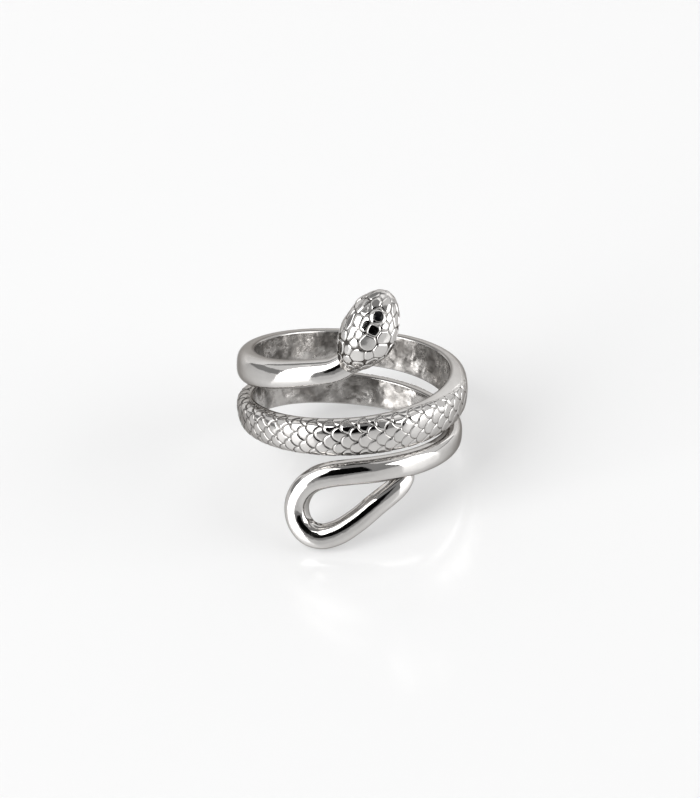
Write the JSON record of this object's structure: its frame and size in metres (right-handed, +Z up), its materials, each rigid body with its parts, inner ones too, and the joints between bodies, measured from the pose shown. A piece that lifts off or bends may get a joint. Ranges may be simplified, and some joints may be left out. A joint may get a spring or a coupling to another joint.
{
  "type": "finger ring",
  "caption": "Wrap ring cast as a coiled snake: raised head with set eyes, smooth neck, scaled body and a tail folded into a flat loop.",
  "frame": {"origin": "middle of the ring's bounding box seen from above, on the surface that it rests on", "axes": "+Z up from that surface, +X to the right and +Y to the back seen from the side of the head and the tail loop; the ring leans back, so the finger's axis leans towards +Y and a little towards +X"},
  "size_m": [0.0204, 0.023, 0.0227],
  "materials": {
    "silver": "polished cast sterling silver, satin as cast inside the band",
    "eye_stone": "polished black stone cabochon"
  },
  "bodies": {
    "root": {"snake_band": "silver", "right_eye_stone": "eye_stone", "left_eye_stone": "eye_stone"}
  },
  "joints": []
}
